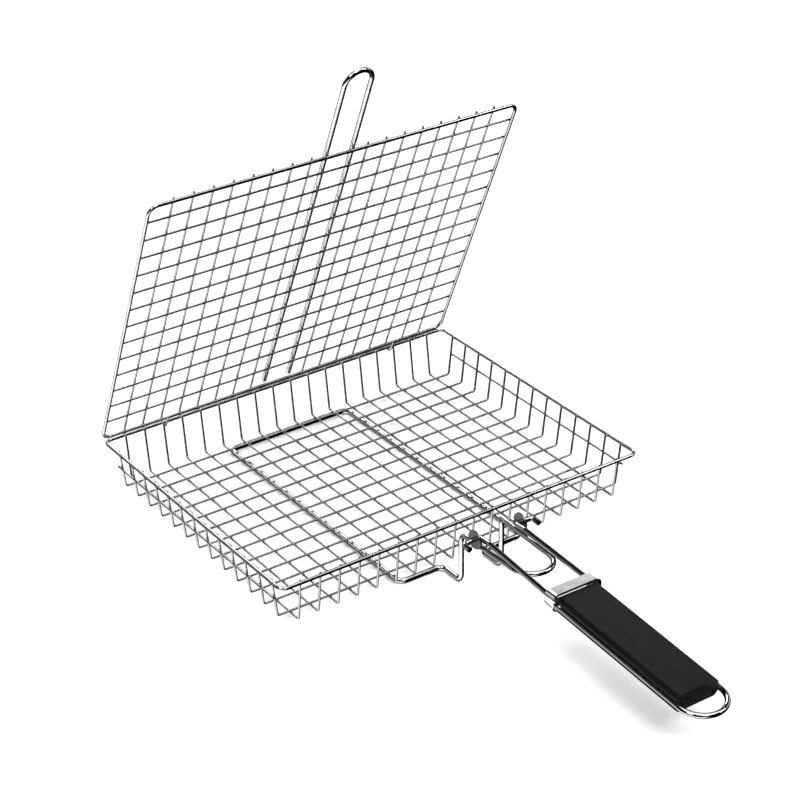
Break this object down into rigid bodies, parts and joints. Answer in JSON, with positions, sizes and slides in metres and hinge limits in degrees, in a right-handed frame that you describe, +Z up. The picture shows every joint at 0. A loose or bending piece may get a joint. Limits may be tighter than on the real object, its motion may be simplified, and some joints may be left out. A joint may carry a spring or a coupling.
{
  "type": "grill basket",
  "caption": "Rectangular wire grill basket with a shallow tray, a hinged wire lid with a long loop, a folding handle with a wooden grip and a sliding lock collar.",
  "frame": {"origin": "middle of the tray on the surface that the bracket's runners stand on", "axes": "+Z up, the handle points to -Y, the lid's hinge runs along X at +Y, +X to the right seen from the handle"},
  "size_m": [0.3572, 0.5949, 0.3856],
  "materials": {
    "mesh_wire": "bright plated, drawn wire",
    "rim_wire": "bright plated, drawn wire",
    "heavy_wire": "bright plated, drawn wire",
    "disc": "bright plated, stamped",
    "collar": "bright plated sheet, polished",
    "grip": "stained black, satin"
  },
  "bodies": {
    "tray": {"hinge_disc_left": "disc", "hinge_disc_right": "disc", "tray_bracket": "heavy_wire", "tray_cross_wire_01": "mesh_wire", "tray_cross_wire_02": "mesh_wire", "tray_cross_wire_03": "mesh_wire", "tray_cross_wire_04": "mesh_wire", "tray_cross_wire_05": "mesh_wire", "tray_cross_wire_06": "mesh_wire", "tray_cross_wire_07": "mesh_wire", "tray_cross_wire_08": "mesh_wire", "tray_cross_wire_09": "mesh_wire", "tray_cross_wire_10": "mesh_wire", "tray_cross_wire_11": "mesh_wire", "tray_cross_wire_12": "mesh_wire", "tray_cross_wire_13": "mesh_wire", "tray_long_wire_01": "mesh_wire", "tray_long_wire_02": "mesh_wire", "tray_long_wire_03": "mesh_wire", "tray_long_wire_04": "mesh_wire", "tray_long_wire_05": "mesh_wire", "tray_long_wire_06": "mesh_wire", "tray_long_wire_07": "mesh_wire", "tray_long_wire_08": "mesh_wire", "tray_long_wire_09": "mesh_wire", "tray_long_wire_10": "mesh_wire", "tray_long_wire_11": "mesh_wire", "tray_long_wire_12": "mesh_wire", "tray_long_wire_13": "mesh_wire", "tray_long_wire_14": "mesh_wire", "tray_long_wire_15": "mesh_wire", "tray_long_wire_16": "mesh_wire", "tray_long_wire_17": "mesh_wire", "tray_long_wire_18": "mesh_wire", "tray_rim": "rim_wire", "tray_side_wire_left": "mesh_wire", "tray_side_wire_right": "mesh_wire"},
    "lid": {"lid_cross_wire_01": "mesh_wire", "lid_cross_wire_02": "mesh_wire", "lid_cross_wire_03": "mesh_wire", "lid_cross_wire_04": "mesh_wire", "lid_cross_wire_05": "mesh_wire", "lid_cross_wire_06": "mesh_wire", "lid_cross_wire_07": "mesh_wire", "lid_cross_wire_08": "mesh_wire", "lid_cross_wire_09": "mesh_wire", "lid_cross_wire_10": "mesh_wire", "lid_cross_wire_11": "mesh_wire", "lid_cross_wire_12": "mesh_wire", "lid_cross_wire_13": "mesh_wire", "lid_hinge_wire_left": "mesh_wire", "lid_hinge_wire_right": "mesh_wire", "lid_long_wires": "mesh_wire", "lid_loop": "heavy_wire", "lid_rim": "rim_wire"},
    "handle": {"handle_frame": "heavy_wire", "grip": "grip"},
    "collar": {"lock_collar": "collar"}
  },
  "joints": [
    {"name": "lid_hinge", "type": "hinge", "parent": "tray", "child": "lid", "pos_m": [0, 0.1405, 0.0437], "axis": [-1, 0, 0], "range_deg": [-66.3, 113.7]},
    {"name": "handle_fold", "type": "hinge", "parent": "tray", "child": "handle", "pos_m": [0, -0.1815, 0.0531], "axis": [-1, 0, 0], "range_deg": [0, 170]},
    {"name": "collar_slide", "type": "slide", "parent": "handle", "child": "collar", "axis": [0, 0.9976, 0.0698], "range_m": [0, 0.046]}
  ]
}
